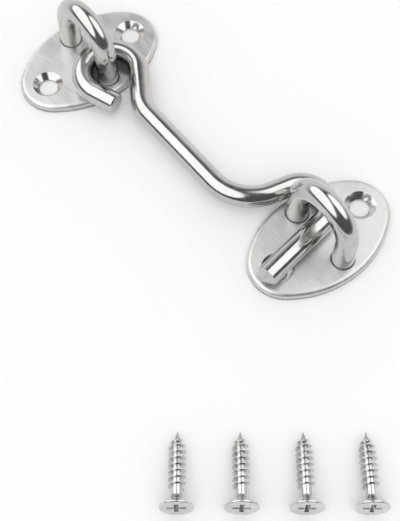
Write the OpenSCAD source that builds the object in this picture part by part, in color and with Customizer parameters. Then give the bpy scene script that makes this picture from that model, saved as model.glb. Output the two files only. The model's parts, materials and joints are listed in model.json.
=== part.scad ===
// Hook and eye latch: a bent bar hook that turns on one oval plate's staple and drops into another's.
// Millimetres. The plates lie on Z = 0. The origin is the middle of the hook plate's back.
// +X runs from the hook plate to the keeper, +Y along the plates, and +Z out of their faces.

/* [Bar] */
// Diameter of the round bar that the hook and both staples are bent from
bar_d = 5; // [4.5:0.1:5.5]
// How much further the bar's surface stands from its centre in a bend, where the bending swells it
bend_swell = 0.04; // [0.04:0.01:0.1]
// Chamfer round the sawn end of the hook's tail
bar_chamfer = 0.3; // [0.1:0.05:0.8]

/* [Plates] */
// Length of each oval plate, along its pair of screw holes
plate_l = 36.8; // [34:0.1:42]
// Width of each oval plate, along its staple
plate_w = 23.8; // [22.5:0.1:26]
// Thickness of each plate
plate_t = 1.8; // [1.5:0.1:3]
// Radius of the oval's two ends
plate_end_r = 8.3; // [7:0.1:9]
// Rounding of each plate's upper rim
rim_r = 0.8; // [0.3:0.05:1.2]
// Distance between the two screw holes of a plate
hole_spacing = 24.5; // [23:0.1:27]
// Diameter of a screw hole
hole_d = 4.4; // [4:0.1:4.8]
// Diameter of a countersink at the plate's face
countersink_d = 7; // [6.5:0.1:7.6]
// Full angle of the countersinks and of the screws' heads
countersink_angle = 90; // [82:1:100]

/* [Staples] */
// Distance between the centres of a staple's two legs
staple_span = 14.8; // [13.5:0.1:15.5]
// Straight height of a staple's legs above its plate
leg_h = 7.4; // [5:0.1:9]
// Spread of each riveted foot, on either side, at the plate's back
foot_spread = 0.6; // [0.3:0.05:0.9]

/* [Hook] */
// Overall length of the hook, from the back of its eye to the outside of its tip
hook_l = 75; // [70:0.5:100]
// Height of the nose's crown over the shank, between the centres of the bar
nose_rise = 16.6; // [15:0.1:19]
// Bend radius of the step, at the centre of the bar
step_r = 11; // [8:0.1:12]
// Angle at which the step rises from the shank
step_angle = 75; // [66:1:80]
// Straight length of the tip, up to its point
tip_l = 17.8; // [14:0.1:20]
// Lean of the tip away from the shank, from square
tip_lean = 7; // [3:0.5:10]
// Length of the conical point
point_l = 1.4; // [1:0.1:3]
// Diameter of the flat at the very end of the point
point_flat_d = 0.6; // [0.3:0.1:1.5]

/* [Hook eye] */
// Bend radius of the neck between the eye and the shank, at the centre of the bar
neck_r = 9; // [7:0.1:11]
// Angle at which the bar leaves the eye towards the shank
neck_angle = 34; // [28:1:42]
// Straight length of the tail that closes the eye
tail_l = 6.2; // [5:0.1:7]
// Angle at which the tail turns in towards the neck
tail_angle = 19; // [12:1:22]
// Offset of the shank's line to the tail's side of the eye's centre
shank_drop = 0.4; // [0:0.1:1.2]

/* [Fits] */
// Spare width of the eye around the leg that it turns on
eye_play = 3.2; // [2.4:0.1:4]
// Running gap between the eye and that leg, on the side that pulls
eye_gap = 0.3; // [0.2:0.05:0.5]
// Spare width of the nose around the keeper's leg
nose_play = 1.6; // [1.2:0.1:2.4]
// Gap between the nose and the keeper's leg, on the shank's side
seat_gap = 0.3; // [0.2:0.05:0.5]
// How far the keeper's leg stands below the nose's centre
seat_drop = 0.5; // [0:0.1:1]
// Gap between the hook and the plates that it lies over
lie_gap = 0.3; // [0.2:0.05:0.6]

/* [Screws] */
// Overall length of a screw
screw_l = 16; // [12:0.5:20]
// Outer diameter of a screw's thread
screw_d = 3.5; // [3:0.1:3.8]
// Length of a screw's tapered point
screw_point_l = 3.6; // [3:0.1:5]
// How much smaller a screw's head is than its countersink
head_gap = 0.2; // [0:0.05:0.4]
// Width of the straight edge round a screw's head
head_edge = 0.3; // [0.2:0.05:0.5]
// Width of the cross recess across a screw's head
recess_w = 3.8; // [3:0.1:4.4]
// Width of each slot of the cross recess
recess_slot = 0.9; // [0.6:0.05:1.1]
// Depth of the cross recess
recess_depth = 1.7; // [1.2:0.1:2]
// Distance between the loose screws, which lie in a row
screw_pitch = 12.5; // [9:0.5:20]
// Where the row of loose screws starts, towards the keeper
row_x = 98; // [90:1:150]
// Where the row of loose screws starts, along the plates
row_y = -52; // [-100:1:-45]
// Turn of the row of loose screws from the +X direction
row_turn = 50.5; // [30:0.5:70]

/* [Hidden] */
$fn = 96;

// Overlap that makes a cut pass clean through a face
cut = 1;
// Largest share of a plate's thickness that the rounding of its rim may take
rim_share = 0.45;
// Depth to which a plate's side arcs run into its end discs, so that the two cross cleanly
side_dip = 0.1;
// Length by which a straight stretch of bar runs on into a bend
lap = 0.05;

// Colours of the finishes
satin_steel = [0.72, 0.715, 0.705];
polished_steel = [0.62, 0.61, 0.595];
screw_steel = [0.65, 0.65, 0.645];

// Four-centred oval: the ends' centres lie on Y and the sides' centres on X, and the arcs meet all but tangent
end_y = plate_l / 2 - plate_end_r;
side_excess = plate_w / 2 - plate_end_r + side_dip;
side_x = (end_y ^ 2 - side_excess ^ 2) / (2 * side_excess);
side_r = plate_w / 2 + side_x;
side_half_angle = atan2(end_y, side_x);
round_r = min(rim_r, rim_share * plate_t);
countersink_depth = (countersink_d - hole_d) / 2 / tan(countersink_angle / 2);

// Bends of the hook, at the centre of the bar
bar_r = bar_d / 2;
bend_bar_r = bar_r + bend_swell;
eye_r = (eye_play + bar_d) / 2 + bend_bar_r;
nose_r = (nose_play + bar_d) / 2 + bend_bar_r;
tail_heading = 180 + tail_angle;
nose_turn = step_angle + 90 - tip_lean;

// Places along the hook, from the centre of its eye
tail_run = tail_l - bar_chamfer - lap;
neck_run = (eye_r * cos(neck_angle) + shank_drop - neck_r * (1 - cos(neck_angle))) / sin(neck_angle);
neck_end_x = (eye_r + neck_r) * sin(neck_angle) + neck_run * cos(neck_angle);
nose_x = hook_l - eye_r - bend_bar_r - (nose_r + bar_r) * cos(tip_lean) - tip_l * sin(tip_lean);
nose_y = nose_rise - shank_drop - nose_r;
limb_run = (nose_rise - (step_r + nose_r) * (1 - cos(step_angle))) / sin(step_angle);
shank_run = nose_x - neck_end_x - (step_r + nose_r) * sin(step_angle) - limb_run * cos(step_angle);

// The bar's course from the tail to the tip: [length] runs straight and [radius, angle] bends, left positive
hook_course = [
    [tail_run],
    [eye_r, -(tail_heading + neck_angle)],
    [neck_run],
    [neck_r, neck_angle],
    [shank_run],
    [step_r, step_angle],
    [limb_run],
    [nose_r, -nose_turn],
    [tip_l - lap]
];
eye_start = eye_r * [-sin(tail_heading), cos(tail_heading)];
tail_start = eye_start - tail_run * [cos(tail_heading), sin(tail_heading)];
hook_start = [tail_start.x, tail_start.y, tail_heading];

// The hook lies just over the plates, with its eye pulled against the near leg of the hook plate's staple
eye_place = [staple_span / 2 + eye_play / 2 - eye_gap, 0, plate_t + lie_gap + bend_bar_r];

// The keeper's near leg stands inside the nose, close to the rising limb
keeper_leg = eye_place + [nose_x - nose_play / 2 + seat_gap, nose_y - seat_drop];
keeper_place = [keeper_leg.x + staple_span / 2, keeper_leg.y, 0];

// A loose screw rests on the edge of its head and on the last full turn of its thread
head_r = (countersink_d - head_gap) / 2;
head_l = head_edge + (head_r - screw_d / 2) / tan(countersink_angle / 2);
screw_tilt = atan2(head_r - screw_d / 2, screw_l - screw_point_l - head_edge);

// Place and heading [x, y, angle] at the end of one step of a course
function after_step(pose, step) =
    len(step) == 1
    ? [pose.x + step[0] * cos(pose[2]), pose.y + step[0] * sin(pose[2]), pose[2]]
    : let (side = sign(step[1]), turned = pose[2] + step[1])
      [
          pose.x + side * step[0] * (sin(turned) - sin(pose[2])),
          pose.y - side * step[0] * (cos(turned) - cos(pose[2])),
          turned
      ];

// Place and heading before step i of a course
function pose_before(course, start, i) =
    i == 0 ? start : after_step(pose_before(course, start, i - 1), course[i - 1]);

// One straight or bent stretch of bar, from the origin along +X
module bar_stretch(step) {
    if (len(step) == 1)
        translate([-lap, 0, 0]) rotate([0, 90, 0]) cylinder(d = bar_d, h = step[0] + 2 * lap);
    else
        mirror([0, step[1] < 0 ? 1 : 0, 0])
            translate([0, step[0], 0])
                rotate([0, 0, -90])
                    rotate_extrude(angle = abs(step[1])) translate([step[0], 0]) circle(r = bend_bar_r);
}

// Cone at the end of a straight stretch, which it continues along +X
module bar_end(run, end_d, l) {
    translate([run + lap, 0, 0]) rotate([0, 90, 0]) cylinder(d1 = bar_d, d2 = end_d, h = l);
}

// Children set at a place and heading in the hook's plane
module at_pose(pose) {
    translate([pose.x, pose.y, 0]) rotate([0, 0, pose[2]]) children();
}

// Half section of a round plate with its upper rim rounded
module rim_section(r) {
    square([r, plate_t - round_r]);
    square([r - round_r, plate_t]);
    translate([r - round_r, plate_t - round_r]) circle(r = round_r);
}

// Oval blank from two end discs and two wide side arcs
module oval_blank() {
    for (end = [-1, 1])
        translate([0, end * end_y, 0]) rotate_extrude() rim_section(plate_end_r);
    for (turn = [0, 180])
        rotate([0, 0, turn]) intersection() {
            translate([-side_x, 0, 0])
                rotate([0, 0, -side_half_angle])
                    rotate_extrude(angle = 2 * side_half_angle) rim_section(side_r);
            translate([0, -plate_l / 2, 0]) cube([plate_w, plate_l, plate_t]);
        }
}

// Through hole with a countersink for a screw
module screw_hole() {
    translate([0, 0, -cut]) cylinder(d = hole_d, h = plate_t + 2 * cut);
    translate([0, 0, plate_t - countersink_depth])
        cylinder(d1 = hole_d, d2 = countersink_d, h = countersink_depth);
}

// Leg of a staple below its plate's face, with the foot that is riveted over at the back
module riveted_foot() {
    cylinder(d = bar_d, h = plate_t);
    cylinder(d1 = bar_d + 2 * foot_spread, d2 = bar_d, h = foot_spread);
}

// Oval plate with its two screw holes and the two holes that the staple is riveted into
module oval_plate() {
    difference() {
        oval_blank();
        for (side = [-1, 1]) {
            translate([0, side * hole_spacing / 2, 0]) screw_hole();
            translate([side * staple_span / 2, 0, 0]) riveted_foot();
        }
    }
}

// Bar bent to a round arch, standing on its two riveted feet
module staple() {
    for (side = [-1, 1])
        translate([side * staple_span / 2, 0, 0]) {
            riveted_foot();
            translate([0, 0, plate_t]) cylinder(d = bar_d, h = leg_h);
        }
    translate([0, 0, plate_t + leg_h])
        rotate([90, 0, 0])
            rotate_extrude(angle = 180) translate([staple_span / 2, 0]) circle(d = bar_d);
}

// Cross recess of a screw's head, sunk from the origin along +Z
module cross_recess() {
    intersection() {
        cylinder(d1 = recess_w, d2 = recess_slot, h = recess_depth);
        for (turn = [0, 90])
            rotate([0, 0, turn])
                translate([-recess_w / 2, -recess_slot / 2, 0]) cube([recess_w, recess_slot, recess_depth]);
    }
}

// Countersunk screw along +Z, with the face of its head at the origin
module screw() {
    difference() {
        rotate_extrude() polygon([
            [0, 0],
            [head_r, 0],
            [head_r, head_edge],
            [screw_d / 2, head_l],
            [screw_d / 2, screw_l - screw_point_l],
            [0, screw_l]
        ]);
        cross_recess();
    }
}

// One screw of the loose row, lying with its point away from the row
module loose_screw(i) {
    color(screw_steel)
        translate([row_x, row_y, 0])
            rotate([0, 0, row_turn])
                translate([i * screw_pitch, 0, 0])
                    rotate([-90 - screw_tilt, 0, 0])
                        translate([0, -head_r, -head_edge]) screw();
}

module hook_plate() {
    color(satin_steel) oval_plate();
}

module hook_staple() {
    color(polished_steel) staple();
}

module hook() {
    last = len(hook_course) - 1;
    color(polished_steel) translate(eye_place) {
        for (i = [0 : last])
            at_pose(pose_before(hook_course, hook_start, i)) bar_stretch(hook_course[i]);
        at_pose(hook_start) mirror([1, 0, 0]) bar_end(0, bar_d - 2 * bar_chamfer, bar_chamfer);
        at_pose(pose_before(hook_course, hook_start, last)) bar_end(hook_course[last][0], point_flat_d, point_l);
    }
}

module keeper_plate() {
    color(satin_steel) translate(keeper_place) oval_plate();
}

module keeper_staple() {
    color(polished_steel) translate(keeper_place) staple();
}

module fixing_screw_1() { loose_screw(0); }
module fixing_screw_2() { loose_screw(1); }
module fixing_screw_3() { loose_screw(2); }
module fixing_screw_4() { loose_screw(3); }

hook_plate();
hook_staple();
hook();
keeper_plate();
keeper_staple();
fixing_screw_1();
fixing_screw_2();
fixing_screw_3();
fixing_screw_4();
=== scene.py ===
"""Hook and eye latch in polished and satin steel, hooked up on a white table with its fixing screws.

Lengths are metres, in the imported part's own frame: the plates lie on Z = 0, +X runs from the hook
plate to the keeper, +Y along the plates and +Z out of their faces.
"""

from __future__ import annotations

import json
import logging
import math
from dataclasses import dataclass
from enum import Enum
from typing import Any, ClassVar, Iterable

import bmesh
import bpy
from mathutils import Matrix, Vector

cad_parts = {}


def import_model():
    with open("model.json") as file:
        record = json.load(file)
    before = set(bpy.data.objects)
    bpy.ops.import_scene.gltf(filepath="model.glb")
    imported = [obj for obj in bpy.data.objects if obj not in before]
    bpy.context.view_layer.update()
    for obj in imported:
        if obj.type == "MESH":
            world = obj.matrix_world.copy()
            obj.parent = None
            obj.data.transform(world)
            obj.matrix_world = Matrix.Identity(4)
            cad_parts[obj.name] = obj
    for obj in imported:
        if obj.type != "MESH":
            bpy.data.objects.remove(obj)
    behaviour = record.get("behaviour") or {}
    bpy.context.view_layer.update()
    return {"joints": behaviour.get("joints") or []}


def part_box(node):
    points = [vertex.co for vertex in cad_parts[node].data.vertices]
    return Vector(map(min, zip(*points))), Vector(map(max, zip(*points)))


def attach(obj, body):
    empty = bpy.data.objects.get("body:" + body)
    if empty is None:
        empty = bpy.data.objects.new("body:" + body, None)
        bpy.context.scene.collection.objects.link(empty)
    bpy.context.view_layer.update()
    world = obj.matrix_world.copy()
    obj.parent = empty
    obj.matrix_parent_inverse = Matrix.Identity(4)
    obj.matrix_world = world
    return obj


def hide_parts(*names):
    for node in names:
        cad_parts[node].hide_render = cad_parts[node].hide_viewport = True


MM = 0.001
UP = Vector((0.0, 0.0, 1.0))
WELD = 1e-7
CREASE_ANGLE = math.radians(30.0)
SCREW_COUNT = 4
LOG = logging.getLogger("latch")


class Body(Enum):
    """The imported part's bodies that pieces ride on."""

    BASE = "base"
    HOOK = "hook"


class Slot(Enum):
    """The record's material slots."""

    SATIN = "satin_steel"
    POLISHED = "polished_steel"
    SCREW = "screw_steel"


class PlateFace(Enum):
    """Material numbers of a plate's kinds of face."""

    SATIN = 0
    COUNTERSINK = 1
    EDGE = 2


class Wire:
    """A shader output that takes part in Python expressions, each of which adds a Math node."""

    def __init__(self, graph: ShaderGraph, socket: bpy.types.NodeSocket) -> None:
        """Keep the graph and the output socket."""
        self.graph = graph
        self.socket = socket

    def _math(self, operation: str, first: Any, second: Any) -> Wire:
        """Add a Math node.

        Args:
            operation: The Math node's operation.
            first: A wire or a number.
            second: A wire or a number.

        Returns:
            The node's value.
        """
        return self.graph.add("ShaderNodeMath", {"operation": operation}, {0: first, 1: second})

    def __add__(self, other: Any) -> Wire:
        """Sum of two values."""
        return self._math("ADD", self, other)

    def __radd__(self, other: Any) -> Wire:
        """Sum of two values."""
        return self._math("ADD", other, self)

    def __sub__(self, other: Any) -> Wire:
        """Difference of two values."""
        return self._math("SUBTRACT", self, other)

    def __rsub__(self, other: Any) -> Wire:
        """Difference of two values."""
        return self._math("SUBTRACT", other, self)

    def __mul__(self, other: Any) -> Wire:
        """Product of two values."""
        return self._math("MULTIPLY", self, other)

    def __rmul__(self, other: Any) -> Wire:
        """Product of two values."""
        return self._math("MULTIPLY", other, self)


class ShaderGraph:
    """A node tree that is emptied and filled node by node."""

    def __init__(self, tree: bpy.types.NodeTree) -> None:
        """Empty the tree."""
        self.tree = tree
        tree.nodes.clear()

    def add(
        self,
        kind: str,
        settings: dict[str, Any] | None = None,
        sockets: dict[str | int, Any] | None = None,
        out: str | int | None = 0,
    ) -> Wire | None:
        """Add one node.

        Args:
            kind: The node's type.
            settings: The node's own settings, set first.
            sockets: Values or wires of the node's inputs, by name or number.
            out: The output that is wanted, by name or number, or None for a node without one.

        Returns:
            The wanted output, or None.
        """
        node = self.tree.nodes.new(kind)
        for name, value in (settings or {}).items():
            setattr(node, name, value)
        for key, value in (sockets or {}).items():
            if isinstance(value, Wire):
                self.tree.links.new(value.socket, node.inputs[key])
            else:
                node.inputs[key].default_value = value
        return None if out is None else Wire(self, node.outputs[out])

    def ease(self, value: Wire, start: float, stop: float) -> Wire:
        """Rise smoothly from 0 to 1 as a value goes from start to stop.

        Args:
            value: The value.
            start: Where the rise starts.
            stop: Where the rise ends, which may be below start.

        Returns:
            The share risen.
        """
        sockets = {"Value": value, "From Min": start, "From Max": stop}
        return self.add("ShaderNodeMapRange", {"interpolation_type": "SMOOTHSTEP"}, sockets, "Result")

    def grain(self, place: Wire, stretch: tuple[float, float, float], detail: float) -> Wire:
        """Noise with its own scale along each axis.

        Args:
            place: Coordinates in metres.
            stretch: Waves per metre along X, Y and Z.
            detail: Octaves of finer noise.

        Returns:
            A value around 0.5.
        """
        mapped = self.add("ShaderNodeMapping", {}, {"Vector": place, "Scale": stretch}, "Vector")
        sockets = {"Vector": mapped, "Scale": 1.0, "Detail": detail}
        return self.add("ShaderNodeTexNoise", {}, sockets, "Fac")

    def blend(self, share: Wire, low: tuple[float, ...], high: tuple[float, ...]) -> Wire:
        """Mix two colours.

        Args:
            share: How much of the second colour shows.
            low: The first colour.
            high: The second colour.

        Returns:
            The mixed colour.
        """
        sockets = {0: share, 6: (*low, 1.0), 7: (*high, 1.0)}
        return self.add("ShaderNodeMix", {"data_type": "RGBA"}, sockets, 2)


@dataclass(frozen=True)
class SteelFinish:
    """A steel surface: two close tints, a range of roughness and a shallow grain.

    Grain and clouds of noise share out tint and roughness evenly, over the span that noise covers.
    """

    GRAIN_SPAN: ClassVar[tuple[float, float]] = (0.34, 0.66)
    GRAIN_SHARE: ClassVar[float] = 0.5
    CLOUD_DETAIL: ClassVar[float] = 3.0

    name: str
    dull_tint: tuple[float, float, float]
    bright_tint: tuple[float, float, float]
    smoothest: float
    roughest: float
    grain_stretch: tuple[float, float, float]
    grain_detail: float
    grain_depth: float
    cloud_scale: float

    def material(self) -> bpy.types.Material:
        """Make the material.

        Returns:
            A metal whose tint, roughness and grain vary over the surface.
        """
        material = bpy.data.materials.new(self.name)
        material.use_nodes = True
        graph = ShaderGraph(material.node_tree)
        place = graph.add("ShaderNodeTexCoord", out="Object")
        grain = graph.grain(place, self.grain_stretch, self.grain_detail)
        cloud = graph.grain(place, (self.cloud_scale,) * 3, self.CLOUD_DETAIL)
        mixed = self.GRAIN_SHARE * grain + (1.0 - self.GRAIN_SHARE) * cloud
        share = graph.ease(mixed, *self.GRAIN_SPAN)
        relief = {"Height": grain, "Distance": self.grain_depth, "Strength": 1.0}
        sockets = {
            "Base Color": graph.blend(share, self.dull_tint, self.bright_tint),
            "Roughness": self.smoothest + (self.roughest - self.smoothest) * share,
            "Metallic": 1.0,
            "Normal": graph.add("ShaderNodeBump", {}, relief, "Normal"),
        }
        surface = graph.add("ShaderNodeBsdfPrincipled", {}, sockets, "BSDF")
        graph.add("ShaderNodeOutputMaterial", {}, {"Surface": surface}, None)
        return material


POLISHED_STEEL = SteelFinish(
    name="polished_steel",
    dull_tint=(0.515, 0.507, 0.495),
    bright_tint=(0.575, 0.567, 0.555),
    smoothest=0.11,
    roughest=0.20,
    grain_stretch=(900.0, 900.0, 900.0),
    grain_detail=2.0,
    grain_depth=0.0003 * MM,
    cloud_scale=90.0,
)
SATIN_STEEL = SteelFinish(
    name="satin_steel",
    dull_tint=(0.64, 0.635, 0.625),
    bright_tint=(0.77, 0.765, 0.755),
    smoothest=0.36,
    roughest=0.48,
    grain_stretch=(320.0, 2600.0, 320.0),
    grain_detail=4.0,
    grain_depth=0.004 * MM,
    cloud_scale=160.0,
)
TURNED_STEEL = SteelFinish(
    name="turned_steel",
    dull_tint=(0.52, 0.51, 0.50),
    bright_tint=(0.60, 0.59, 0.58),
    smoothest=0.10,
    roughest=0.22,
    grain_stretch=(40.0, 40.0, 6000.0),
    grain_detail=2.0,
    grain_depth=0.001 * MM,
    cloud_scale=200.0,
)
# The plate's upright edge: rougher, as a shear-cut edge is, with its tint darkened to about half the
# face's as painted shade on the side wall.
SHEARED_STEEL_PAINTED_SHADE = SteelFinish(
    name="sheared_steel_painted_shade",
    dull_tint=(0.34, 0.335, 0.33),
    bright_tint=(0.46, 0.455, 0.45),
    smoothest=0.30,
    roughest=0.45,
    grain_stretch=(2500.0, 2500.0, 120.0),
    grain_detail=3.0,
    grain_depth=0.002 * MM,
    cloud_scale=200.0,
)
ROLLED_STEEL = SteelFinish(
    name="rolled_steel",
    dull_tint=(0.56, 0.56, 0.56),
    bright_tint=(0.74, 0.74, 0.73),
    smoothest=0.14,
    roughest=0.30,
    grain_stretch=(1500.0, 1500.0, 1500.0),
    grain_detail=3.0,
    grain_depth=0.001 * MM,
    cloud_scale=300.0,
)


def new_piece(
    name: str,
    bm: bmesh.types.BMesh,
    materials: Iterable[bpy.types.Material],
    body: Body,
    node: str,
) -> bpy.types.Object:
    """Turn a bmesh into a piece of the part that stands for one of its nodes.

    Args:
        name: The piece's name.
        bm: The finished shape, which is freed.
        materials: The piece's materials, in the order of the faces' material numbers.
        body: The body that the piece rides on.
        node: The node that the piece stands for.

    Returns:
        The piece.
    """
    bmesh.ops.recalc_face_normals(bm, faces=bm.faces[:])
    mesh = bpy.data.meshes.new(name)
    bm.to_mesh(mesh)
    bm.free()
    for material in materials:
        mesh.materials.append(material)
    piece = bpy.data.objects.new(name, mesh)
    bpy.context.scene.collection.objects.link(piece)
    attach(piece, body.value)
    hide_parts(node)
    LOG.info("%s: %d faces, rides on %s", name, len(mesh.polygons), body.value)
    return piece


def verts_of(geometry: Iterable[Any]) -> list[bmesh.types.BMVert]:
    """The vertices among a mixed list of geometry."""
    return [item for item in geometry if isinstance(item, bmesh.types.BMVert)]


def edges_within(verts: list[bmesh.types.BMVert]) -> list[bmesh.types.BMEdge]:
    """The edges that join two vertices of a list, in the list's order.

    Args:
        verts: The vertices.

    Returns:
        The edges, each once.
    """
    inside = set(verts)
    linked = (edge for vert in verts for edge in vert.link_edges if edge.other_vert(vert) in inside)
    return list(dict.fromkeys(linked))


def open_edges_at(bm: bmesh.types.BMesh, height: float) -> list[bmesh.types.BMEdge]:
    """The edges at a height that have fewer than two faces.

    Args:
        bm: The shape.
        height: The height along Z.

    Returns:
        The open edges there.
    """
    level = [edge for edge in bm.edges if all(abs(vert.co.z - height) < WELD for vert in edge.verts)]
    return [edge for edge in level if len(edge.link_faces) < 2]


def crease_sharp_edges(bm: bmesh.types.BMesh) -> None:
    """Mark as sharp the edges where two faces turn by more than the crease angle.

    Args:
        bm: The shape.
    """
    for edge in bm.edges:
        if len(edge.link_faces) == 2 and edge.calc_face_angle() > CREASE_ANGLE:
            edge.smooth = False


def extrude_ring(
    bm: bmesh.types.BMesh, ring: list[bmesh.types.BMVert], move: Vector, centre: Vector, grow: float
) -> list[bmesh.types.BMVert]:
    """Extrude a closed ring, move it and scale it about its new centre.

    Args:
        bm: The shape.
        ring: The ring's vertices.
        move: How far the new ring moves.
        centre: The old ring's centre.
        grow: The new ring's size over the old one's.

    Returns:
        The new ring.
    """
    made = bmesh.ops.extrude_edge_only(bm, edges=edges_within(ring))
    ring = verts_of(made["geom"])
    bmesh.ops.translate(bm, verts=ring, vec=move)
    bmesh.ops.scale(bm, verts=ring, vec=(grow,) * 3, space=Matrix.Translation(-(centre + move)))
    return ring


class BarSweep:
    """A round bar that grows from one end as straight stretches and bends."""

    SIDES = 64
    STEP = math.radians(3.0)

    def __init__(self, radius: float, place: Vector, heading: Vector) -> None:
        """Draw the first ring.

        Args:
            radius: The ring's radius.
            place: The ring's centre.
            heading: The way that the bar grows.
        """
        self.bm = bmesh.new()
        self.place = place.copy()
        self.heading = heading.normalized()
        turn = UP.rotation_difference(self.heading).to_matrix().to_4x4()
        made = bmesh.ops.create_circle(
            self.bm,
            cap_ends=False,
            radius=radius,
            segments=self.SIDES,
            matrix=Matrix.Translation(place) @ turn,
        )
        self.ring = made["verts"]
        self.creases: list[bmesh.types.BMEdge] = []
        self.cap()

    def cap(self) -> None:
        """Close the bar with a flat face at its present end, with a crease round it."""
        self.creases += edges_within(self.ring)
        bmesh.ops.edgeloop_fill(self.bm, edges=edges_within(self.ring))

    def straight(self, length: float, grow: float = 1.0, crease: bool = False) -> None:
        """Add a straight or tapered stretch.

        Args:
            length: The stretch's length.
            grow: The bar's radius at its end over that at its start.
            crease: Whether the end of the stretch is a sharp edge.
        """
        move = self.heading * length
        self.ring = extrude_ring(self.bm, self.ring, move, self.place, grow)
        self.place += move
        if crease:
            self.creases += edges_within(self.ring)

    def bend(self, radius: float, angle: float, axis: Vector) -> None:
        """Add a bend.

        Args:
            radius: The bend's radius at the centre of the bar.
            angle: How far the bar turns by the right-hand rule.
            axis: The direction that it turns about.
        """
        side = axis.cross(self.heading) * math.copysign(1.0, angle)
        centre = self.place + side * radius
        made = bmesh.ops.spin(
            self.bm,
            geom=self.ring + edges_within(self.ring),
            cent=centre,
            axis=axis,
            angle=angle,
            steps=max(2, math.ceil(abs(angle) / self.STEP)),
        )
        self.ring = verts_of(made["geom_last"])
        turn = Matrix.Rotation(angle, 3, axis)
        self.place = centre + turn @ (self.place - centre)
        self.heading = turn @ self.heading

    def finished(self) -> bmesh.types.BMesh:
        """Close the far end and set the shading.

        Returns:
            The bar as a closed shape, smooth apart from its creases.
        """
        self.cap()
        for face in self.bm.faces:
            face.smooth = True
        for edge in self.creases:
            edge.smooth = False
        return self.bm


@dataclass
class BarSizes:
    """The round bar that the hook and both staples are bent from."""

    radius: float = 2.5 * MM


@dataclass
class Staple:
    """A bar bent to a round arch whose two feet are riveted through a plate."""

    name: str
    node: str
    centre: Vector
    bar: BarSizes
    plate_thickness: float
    span: float = 14.8 * MM
    leg_height: float = 7.4 * MM
    foot_spread: float = 0.6 * MM

    def build(self) -> bmesh.types.BMesh:
        """Sweep the staple from one foot to the other.

        Returns:
            The staple's shape.
        """
        foot_radius = self.bar.radius + self.foot_spread
        leg = self.plate_thickness + self.leg_height - self.foot_spread
        start = self.centre - Vector((self.span / 2, 0.0, 0.0))
        sweep = BarSweep(foot_radius, start, UP)
        sweep.straight(self.foot_spread, self.bar.radius / foot_radius, crease=True)
        sweep.straight(leg)
        sweep.bend(self.span / 2, math.pi, Vector((0.0, 1.0, 0.0)))
        sweep.straight(leg, crease=True)
        sweep.straight(self.foot_spread, foot_radius / self.bar.radius)
        return sweep.finished()

    def dress(self, finish: bpy.types.Material) -> None:
        """Make the staple a piece with its finish."""
        new_piece(self.name, self.build(), [finish], Body.BASE, self.node)


@dataclass
class Hook:
    """One bar bent to an eye, a neck, a shank, a step, a nose and a pointed tip."""

    name: str
    node: str
    eye_centre: Vector
    bar: BarSizes
    length: float = 75.0 * MM
    eye_radius: float = 6.64 * MM
    tail_length: float = 6.2 * MM
    tail_angle: float = math.radians(19.0)
    tail_chamfer: float = 0.3 * MM
    neck_radius: float = 9.0 * MM
    neck_angle: float = math.radians(34.0)
    shank_drop: float = 0.4 * MM
    step_radius: float = 11.0 * MM
    step_angle: float = math.radians(75.0)
    nose_radius: float = 5.84 * MM
    nose_rise: float = 16.6 * MM
    tip_length: float = 17.8 * MM
    tip_lean: float = math.radians(7.0)
    point_length: float = 1.4 * MM
    point_flat: float = 0.3 * MM

    def _straights(self) -> tuple[float, float, float]:
        """Work out the straight stretches that the bends leave over.

        Returns:
            The lengths of the neck, the shank and the rising limb.
        """
        eye, neck, rise = self.eye_radius, self.neck_angle, self.step_angle
        drop = eye * math.cos(neck) + self.shank_drop - self.neck_radius * (1 - math.cos(neck))
        neck_run = drop / math.sin(neck)
        neck_end = (eye + self.neck_radius) * math.sin(neck) + neck_run * math.cos(neck)
        tip_reach = (self.nose_radius + self.bar.radius) * math.cos(self.tip_lean)
        tip_reach += self.tip_length * math.sin(self.tip_lean)
        nose_x = self.length - 2 * self.bar.radius - self.eye_radius - tip_reach + self.bar.radius
        bends = self.step_radius + self.nose_radius
        limb_run = (self.nose_rise - bends * (1 - math.cos(rise))) / math.sin(rise)
        shank_run = nose_x - neck_end - bends * math.sin(rise) - limb_run * math.cos(rise)
        return neck_run, shank_run, limb_run

    def build(self) -> bmesh.types.BMesh:
        """Sweep the bar from the sawn end of its tail to its point.

        Returns:
            The hook's shape.
        """
        neck_run, shank_run, limb_run = self._straights()
        heading = math.pi + self.tail_angle
        along = Vector((math.cos(heading), math.sin(heading), 0.0))
        eye_start = self.eye_centre + self.eye_radius * Vector((-along.y, along.x, 0.0))
        sawn = self.bar.radius - self.tail_chamfer
        sweep = BarSweep(sawn, eye_start - self.tail_length * along, along)
        sweep.straight(self.tail_chamfer, self.bar.radius / sawn, crease=True)
        sweep.straight(self.tail_length - self.tail_chamfer)
        sweep.bend(self.eye_radius, -(heading + self.neck_angle), UP)
        sweep.straight(neck_run)
        sweep.bend(self.neck_radius, self.neck_angle, UP)
        sweep.straight(shank_run)
        sweep.bend(self.step_radius, self.step_angle, UP)
        sweep.straight(limb_run)
        sweep.bend(self.nose_radius, -(self.step_angle + math.pi / 2 - self.tip_lean), UP)
        sweep.straight(self.tip_length, crease=True)
        sweep.straight(self.point_length, self.point_flat / self.bar.radius)
        return sweep.finished()

    def dress(self, finish: bpy.types.Material) -> None:
        """Make the hook a piece with its finish."""
        new_piece(self.name, self.build(), [finish], Body.HOOK, self.node)


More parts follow.
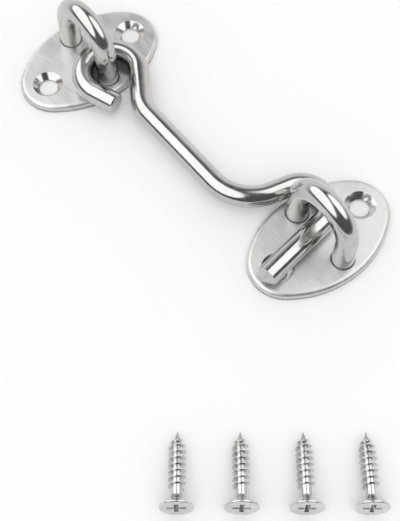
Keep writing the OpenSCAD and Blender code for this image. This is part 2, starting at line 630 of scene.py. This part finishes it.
@dataclass
class OvalPlate:
    """A pressed oval plate with two countersunk screw holes and two holes for a staple's feet."""

    name: str
    node: str
    centre: Vector
    bar: BarSizes
    length: float = 36.8 * MM
    width: float = 23.8 * MM
    thickness: float = 1.8 * MM
    end_radius: float = 8.3 * MM
    rim_radius: float = 1.0 * MM
    hole_spacing: float = 24.5 * MM
    hole_radius: float = 2.2 * MM
    countersink_radius: float = 3.5 * MM
    lip: float = 0.05 * MM
    foot_round: float = 0.35 * MM
    foot_round_steps: int = 4
    staple_span: float = 14.8 * MM
    foot_spread: float = 0.6 * MM
    hole_sides: int = 64
    rim_steps: int = 8
    arc_step: float = math.radians(2.0)

    def _rim(self, bm: bmesh.types.BMesh) -> list[bmesh.types.BMFace]:
        """Draw the rim's profile and spin it round the oval's four arcs.

        Args:
            bm: The shape to draw in.

        Returns:
            The faces of the upright edge, cut by shearing, which take the darker steel that paints
            shade on the side wall.
        """
        half = self.width / 2
        foot = bm.verts.new((half, 0.0, 0.0))
        shoulder = bm.verts.new((half, 0.0, self.thickness - self.rim_radius))
        bm.edges.new((foot, shoulder))
        bmesh.ops.spin(
            bm,
            geom=[shoulder],
            cent=(half - self.rim_radius, 0.0, self.thickness - self.rim_radius),
            axis=(0.0, -1.0, 0.0),
            angle=math.pi / 2,
            steps=self.rim_steps,
        )
        end_y = self.length / 2 - self.end_radius
        waist = half - self.end_radius
        side_x = (end_y**2 - waist**2) / (2 * waist)
        side_angle = math.atan2(end_y, side_x)
        end_angle = math.pi - 2 * side_angle
        arcs = (
            ((-side_x, 0.0, 0.0), side_angle),
            ((0.0, end_y, 0.0), end_angle),
            ((side_x, 0.0, 0.0), 2 * side_angle),
            ((0.0, -end_y, 0.0), end_angle),
            ((-side_x, 0.0, 0.0), side_angle),
        )
        profile = bm.verts[:] + bm.edges[:]
        for centre, angle in arcs:
            steps = math.ceil(angle / self.arc_step)
            made = bmesh.ops.spin(bm, geom=profile, cent=centre, axis=UP, angle=angle, steps=steps)
            profile = made["geom_last"]
        bmesh.ops.remove_doubles(bm, verts=bm.verts[:], dist=WELD)
        top = self.thickness - self.rim_radius + WELD
        return [face for face in bm.faces if all(vert.co.z < top for vert in face.verts)]

    def _hole(
        self, bm: bmesh.types.BMesh, middle: Vector, rings: list[tuple[float, float]]
    ) -> list[bmesh.types.BMFace]:
        """Draw a hole's wall from the plate's face to its back.

        Args:
            bm: The shape to draw in.
            middle: The hole's centre at the plate's face.
            rings: Radius and height of each ring, from the face down.

        Returns:
            The wall's faces.
        """
        before = set(bm.faces)
        radius = rings[0][0]
        matrix = Matrix.Translation(middle)
        made = bmesh.ops.create_circle(
            bm, cap_ends=False, radius=radius, segments=self.hole_sides, matrix=matrix
        )
        ring = made["verts"]
        for next_radius, height in rings[1:]:
            move = Vector((0.0, 0.0, height - middle.z))
            ring = extrude_ring(bm, ring, move, middle, next_radius / radius)
            radius, middle = next_radius, middle + move
        return [face for face in bm.faces if face not in before]

    def build(self) -> bmesh.types.BMesh:
        """Spin the rim, draw the holes and fill the face and the back between them.

        Returns:
            The plate's shape, with each kind of face under its own material number.
        """
        bm = bmesh.new()
        painted_shade_faces = self._rim(bm)
        top = self.thickness
        seat = top - (self.countersink_radius - self.hole_radius)
        screw_rings = [
            (self.countersink_radius + self.lip, top),
            (self.countersink_radius, top - self.lip / 2),
            (self.hole_radius, seat),
            (self.hole_radius, 0.0),
        ]
        foot_rings = []
        for step in range(self.foot_round_steps + 1):
            turn = math.pi / 2 * step / self.foot_round_steps
            inset = self.foot_round * (1 - math.sin(turn))
            sunk = self.foot_round * (1 - math.cos(turn))
            foot_rings.append((self.bar.radius + inset, top - sunk))
        foot_rings += [
            (self.bar.radius, self.foot_spread),
            (self.bar.radius + self.foot_spread, 0.0),
        ]
        turned = []
        for side in (-1, 1):
            turned += self._hole(bm, Vector((0.0, side * self.hole_spacing / 2, top)), screw_rings)
            self._hole(bm, Vector((side * self.staple_span / 2, 0.0, top)), foot_rings)
        for face in bm.faces:
            face.smooth = True
        # The upright edge takes the darker steel, which is painted shade on the side wall.
        for kind, faces in ((PlateFace.COUNTERSINK, turned), (PlateFace.EDGE, painted_shade_faces)):
            for face in faces:
                face.material_index = kind.value
        for height, facing in ((top, UP), (0.0, -UP)):
            bmesh.ops.triangle_fill(bm, use_beauty=True, edges=open_edges_at(bm, height), normal=facing)
        crease_sharp_edges(bm)
        bmesh.ops.translate(bm, verts=bm.verts[:], vec=self.centre)
        return bm

    def dress(self, finishes: Iterable[bpy.types.Material]) -> None:
        """Make the plate a piece with the finishes of its face and its countersinks, and its edge's
        darker finish of painted shade.
        """
        new_piece(self.name, self.build(), finishes, Body.BASE, self.node)


@dataclass
class PlateAssembly:
    """An oval plate with the staple that is riveted into it."""

    plate: OvalPlate
    staple: Staple

    @classmethod
    def on_nodes(cls, prefix: str, bar: BarSizes) -> PlateAssembly:
        """Place a plate and its staple where the part has them.

        Args:
            prefix: What the two nodes' names start with.
            bar: The staple's bar.

        Returns:
            The assembly.
        """
        low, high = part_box(f"{prefix}_plate")
        centre = (low + high) / 2
        centre.z = low.z
        plate = OvalPlate(f"{prefix}_plate_pressing", f"{prefix}_plate", centre, bar)
        staple = Staple(f"{prefix}_staple_bar", f"{prefix}_staple", centre, bar, plate.thickness)
        return cls(plate, staple)

    def dress(self, plate_finishes: Iterable[bpy.types.Material], polished: bpy.types.Material) -> None:
        """Make both pieces with their finishes."""
        self.plate.dress(plate_finishes)
        self.staple.dress(polished)


@dataclass
class FixingScrew:
    """A countersunk tapping screw with a cross recess, a rolled thread and a gimlet point."""

    number: int
    length: float = 16.0 * MM
    head_radius: float = 3.4 * MM
    head_edge: float = 0.3 * MM
    head_lip: float = 0.1 * MM
    thread_radius: float = 1.75 * MM
    core_radius: float = 1.15 * MM
    neck_length: float = 1.2 * MM
    point_length: float = 3.6 * MM
    thread_pitch: float = 1.3 * MM
    thread_foot: float = 0.42 * MM
    thread_crest: float = 0.08 * MM
    thread_root: float = 0.8
    thread_run_out: float = 0.4
    thread_at_point: float = 0.4
    recess_width: float = 3.8 * MM
    recess_slot: float = 0.9 * MM
    recess_depth: float = 1.7 * MM
    recess_taper: float = 0.4
    row_start: tuple[float, float] = (98.0 * MM, -52.0 * MM)
    row_turn: float = math.radians(50.5)
    row_pitch: float = 12.5 * MM
    sides: int = 48
    steps_per_turn: int = 36

    @property
    def cone_end(self) -> float:
        """Where the head's cone reaches the core, below the head's face."""
        return self.head_edge + self.head_radius - self.core_radius

    def _core_at(self, height: float) -> float:
        """Radius of the core at a height above the head's face, down to nothing at the point."""
        left = (self.length - height) / self.point_length
        return self.core_radius * min(1.0, max(0.0, left))

    def _shaft(self, bm: bmesh.types.BMesh) -> None:
        """Spin the head's edge, its cone, the neck, the core and the point.

        Args:
            bm: The shape to draw in.
        """
        profile = [
            (self.head_radius - self.head_lip, 0.0),
            (self.head_radius, self.head_lip),
            (self.head_radius, self.head_edge),
            (self.core_radius, self.cone_end),
            (self.core_radius, self.length - self.point_length),
            (0.0, self.length),
        ]
        verts = [bm.verts.new((radius, 0.0, height)) for radius, height in profile]
        edges = [bm.edges.new(pair) for pair in zip(verts, verts[1:])]
        bmesh.ops.spin(
            bm,
            geom=verts + edges,
            cent=(0.0, 0.0, 0.0),
            axis=UP,
            angle=2 * math.pi,
            steps=self.sides,
            use_merge=True,
        )
        bmesh.ops.remove_doubles(bm, verts=bm.verts[:], dist=WELD)

    def _recess(self, bm: bmesh.types.BMesh) -> None:
        """Sink the cross recess and fill the head's face round it.

        Args:
            bm: The shape to draw in.
        """
        arm, slot = self.recess_width / 2, self.recess_slot / 2
        corners = []
        for quarter in range(4):
            turn = Matrix.Rotation(quarter * math.pi / 2, 3, "Z")
            points = ((arm, -slot, 0.0), (arm, slot, 0.0), (slot, slot, 0.0))
            corners += [turn @ Vector(point) for point in points]
        ring = [bm.verts.new(corner) for corner in corners]
        for first, second in zip(ring, ring[1:] + ring[:1]):
            bm.edges.new((first, second))
        sunk = Vector((0.0, 0.0, self.recess_depth))
        extrude_ring(bm, ring, sunk, Vector(), self.recess_taper)
        for height in (0.0, self.recess_depth):
            edges = open_edges_at(bm, height)
            bmesh.ops.triangle_fill(bm, use_beauty=True, edges=edges, normal=-UP)

    def _thread(self, bm: bmesh.types.BMesh) -> None:
        """Spin the thread's section up the core as a helix that fades at both ends.

        Args:
            bm: The shape to draw in.
        """
        start = self.cone_end + self.neck_length
        stop = self.length - self.thread_run_out * self.point_length
        turns = (stop - start) / self.thread_pitch
        inner = self.thread_root * self.core_radius
        section = [
            (inner, -self.thread_foot / 2),
            (self.thread_radius, -self.thread_crest / 2),
            (self.thread_radius, self.thread_crest / 2),
            (inner, self.thread_foot / 2),
        ]
        verts = [bm.verts.new((radius, 0.0, start + along)) for radius, along in section]
        bm.faces.new(verts)
        before = set(bm.verts) - set(verts)
        steps = round(turns * self.steps_per_turn)
        made = bmesh.ops.spin(
            bm,
            geom=verts + edges_within(verts),
            cent=(0.0, 0.0, 0.0),
            axis=UP,
            dvec=(0.0, 0.0, self.thread_pitch / self.steps_per_turn),
            angle=2 * math.pi * steps / self.steps_per_turn,
            steps=steps,
        )
        bm.faces.new(verts_of(made["geom_last"]))
        for vert in [vert for vert in bm.verts if vert not in before]:
            radius = math.hypot(vert.co.x, vert.co.y)
            fade = min(1.0, (vert.co.z - start + self.thread_pitch / 2) / self.thread_pitch)
            core = self._core_at(vert.co.z)
            share = core / self.core_radius
            wanted = core * radius / self.core_radius
            if radius > self.core_radius:
                tall = self.thread_at_point + (1.0 - self.thread_at_point) * share
                wanted = core + (radius - self.core_radius) * max(0.0, fade) * tall
            vert.co.x *= wanted / radius
            vert.co.y *= wanted / radius

    def build(self) -> bmesh.types.BMesh:
        """Make the screw along +Z and lay it in its place in the row.

        Returns:
            The screw's shape.
        """
        bm = bmesh.new()
        self._shaft(bm)
        self._recess(bm)
        self._thread(bm)
        for face in bm.faces:
            face.smooth = True
        crease_sharp_edges(bm)
        lying = self.length - self.point_length - self.head_edge
        tilt = math.atan2(self.head_radius - self.thread_radius, lying)
        place = Matrix.Translation((*self.row_start, 0.0)) @ Matrix.Rotation(self.row_turn, 4, "Z")
        place @= Matrix.Translation(((self.number - 1) * self.row_pitch, 0.0, 0.0))
        place @= Matrix.Rotation(-math.pi / 2 - tilt, 4, "X")
        place @= Matrix.Translation((0.0, -self.head_radius, -self.head_edge))
        bmesh.ops.transform(bm, matrix=place, verts=bm.verts[:])
        return bm

    def dress(self, finish: bpy.types.Material) -> None:
        """Make the screw a piece with its finish."""
        node = f"fixing_screw_{self.number}"
        new_piece(f"{node}_threaded", self.build(), [finish], Body.BASE, node)


@dataclass(frozen=True)
class SoftBox:
    """An oval soft box, placed and sized by the angles in degrees at which the object sees it.

    Across is to the camera's right, above is over it, and the box's top leans to the left.
    """

    name: str
    across: float
    above: float
    half_width: float
    half_height: float
    lean: float = 0.0
    distance: float = 0.32
    level: float = 1.66


@dataclass
class Studio:
    """The white table, two soft boxes, the pale room and the camera."""

    camera_place: tuple[float, float, float] = (137.222 * MM, -78.367 * MM, 199.535 * MM)
    camera_azimuth: float = math.radians(50.6131)
    camera_elevation: float = math.radians(62.9222)
    lens: float = 71.075
    sensor: float = 36.0
    aim: tuple[float, float, float] = (35.0 * MM, 5.0 * MM, 10.0 * MM)
    table_size: float = 6.0
    table_white: float = 0.98
    boxes: tuple[SoftBox, ...] = (
        SoftBox("left_soft_box", -37.0, 18.0, 33.0, 51.0, lean=18.0),
        SoftBox("right_soft_box", 36.0, 28.0, 24.0, 33.0, lean=20.0),
    )
    dark_across: float = -5.0
    dark_above: float = -8.0
    dark_reach: float = math.radians(70.0)
    dark_fade: float = math.radians(108.0)
    dark_level: float = 0.12
    room_level: float = 1.0
    fill_level: float = 0.80
    key_share: float = 0.21
    key_spread: float = math.radians(60.0)

    @property
    def axes(self) -> Matrix:
        """The camera's right, up and backward directions as a matrix's columns."""
        turn = Matrix.Rotation(self.camera_azimuth, 3, "Z")
        return turn @ Matrix.Rotation(math.pi / 2 - self.camera_elevation, 3, "X")

    def _toward(self, across: float, above: float) -> Vector:
        """A direction that lies some degrees to the right of the camera and above it.

        Args:
            across: Degrees to the camera's right.
            above: Degrees above the camera.

        Returns:
            The unit direction from the object.
        """
        angle = math.radians(math.hypot(across, above))
        side = Vector((across, above, 0.0)).normalized() * math.sin(angle)
        return self.axes @ Vector((side.x, side.y, math.cos(angle)))

    def table(self) -> None:
        """Lay the white table top that the part lies on."""
        bm = bmesh.new()
        bmesh.ops.create_grid(bm, x_segments=1, y_segments=1, size=self.table_size / 2)
        mesh = bpy.data.meshes.new("table_top")
        bm.to_mesh(mesh)
        bm.free()
        material = bpy.data.materials.new("table_white")
        material.use_nodes = True
        graph = ShaderGraph(material.node_tree)
        white = (self.table_white,) * 3
        surface = graph.add("ShaderNodeBsdfDiffuse", {}, {"Color": (*white, 1.0)}, "BSDF")
        graph.add("ShaderNodeOutputMaterial", {}, {"Surface": surface}, None)
        mesh.materials.append(material)
        top = bpy.data.objects.new("table_top", mesh)
        bpy.context.scene.collection.objects.link(top)

    def room(self) -> None:
        """Light the scene evenly, and give polished steel pale walls with a dark zone to mirror."""
        world = bpy.data.worlds.new("room")
        bpy.context.scene.world = world
        world.use_nodes = True
        graph = ShaderGraph(world.node_tree)
        direction = graph.add("ShaderNodeTexCoord", out="Generated")
        middle = self._toward(self.dark_across, self.dark_above)
        operation = {"operation": "DOT_PRODUCT"}
        nearness = graph.add("ShaderNodeVectorMath", operation, {0: direction, 1: middle}, "Value")
        outside = graph.ease(nearness, math.cos(self.dark_reach), math.cos(self.dark_fade))
        mirrored = self.dark_level + (self.room_level - self.dark_level) * outside
        seen = graph.add("ShaderNodeLightPath", out="Is Camera Ray")
        glossy = graph.add("ShaderNodeLightPath", out="Is Glossy Ray")
        level = seen + glossy * mirrored + (1.0 - seen - glossy) * self.fill_level
        white = (1.0, 1.0, 1.0, 1.0)
        shine = graph.add("ShaderNodeBackground", {}, {"Color": white, "Strength": level}, "Background")
        graph.add("ShaderNodeOutputWorld", {}, {"Surface": shine}, None)

    def hang(self, box: SoftBox) -> None:
        """Hang one soft box, which faces the object and leans as seen from the camera.

        Args:
            box: The soft box.
        """
        lamp = bpy.data.lights.new(box.name, "AREA")
        lamp.shape = "ELLIPSE"
        lamp.size = 2 * box.distance * math.tan(math.radians(box.half_width))
        lamp.size_y = 2 * box.distance * math.tan(math.radians(box.half_height))
        lamp.energy = box.level * math.pi * (math.pi / 4 * lamp.size * lamp.size_y)
        back = self._toward(box.across, box.above)
        across = self.axes.col[1].cross(back).normalized()
        turn = Matrix((across, back.cross(across), back)).transposed()
        turn @= Matrix.Rotation(math.radians(box.lean), 3, "Z")
        hung = bpy.data.objects.new(box.name, lamp)
        hung.matrix_world = Matrix.Translation(Vector(self.aim) + box.distance * back) @ turn.to_4x4()
        hung.visible_camera = False
        hung.visible_diffuse = False
        bpy.context.scene.collection.objects.link(hung)

    def key(self) -> None:
        """Hang the weak, wide key light behind the camera that gives the table its soft shadow."""
        lamp = bpy.data.lights.new("key", "SUN")
        lamp.angle = self.key_spread
        lamp.energy = self.key_share * math.pi / self.axes.col[2].z
        hung = bpy.data.objects.new("key", lamp)
        hung.rotation_euler = self.axes.to_euler()
        hung.visible_glossy = False
        bpy.context.scene.collection.objects.link(hung)

    def camera(self) -> None:
        """Set the camera at the photograph's viewing angle."""
        view = bpy.data.cameras.new("camera")
        view.sensor_width = self.sensor
        view.lens = self.lens
        view.clip_start = 1.0 * MM
        eye = bpy.data.objects.new("camera", view)
        eye.location = self.camera_place
        eye.rotation_euler = (math.pi / 2 - self.camera_elevation, 0.0, self.camera_azimuth)
        bpy.context.scene.collection.objects.link(eye)
        bpy.context.scene.camera = eye

    def set_up(self) -> None:
        """Make the whole studio."""
        bpy.context.scene.view_settings.view_transform = "Standard"
        self.camera()
        self.table()
        self.room()
        self.key()
        for box in self.boxes:
            self.hang(box)


def corners(box: tuple[Vector, Vector]) -> list[list[float]]:
    """A box's two corners as plain lists."""
    return [list(corner) for corner in box]


def main() -> None:
    """Load the part, build its pieces, dress them and set up the studio."""
    logging.basicConfig(level=logging.INFO, format="%(name)s: %(message)s")
    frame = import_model()
    Studio().set_up()
    polished = POLISHED_STEEL.material()
    finish_of = {
        PlateFace.SATIN: SATIN_STEEL,
        PlateFace.COUNTERSINK: TURNED_STEEL,
        # The edge's finish is satin steel darkened as painted shade on the side wall.
        PlateFace.EDGE: SHEARED_STEEL_PAINTED_SHADE,
    }
    plate_finishes = [finish_of[kind].material() for kind in PlateFace]
    rolled = ROLLED_STEEL.material()
    bar = BarSizes()
    for prefix in ("hook", "keeper"):
        PlateAssembly.on_nodes(prefix, bar).dress(plate_finishes, polished)
    pivot = Vector(frame["joints"][0]["pos_m"])
    hook_low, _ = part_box("hook")
    eye_centre = Vector((hook_low.x + Hook.eye_radius + bar.radius, pivot.y, pivot.z))
    Hook("hook_bar", "hook", eye_centre, bar).dress(polished)
    for number in range(1, SCREW_COUNT + 1):
        FixingScrew(number).dress(rolled)


if __name__ == "__main__":
    main()
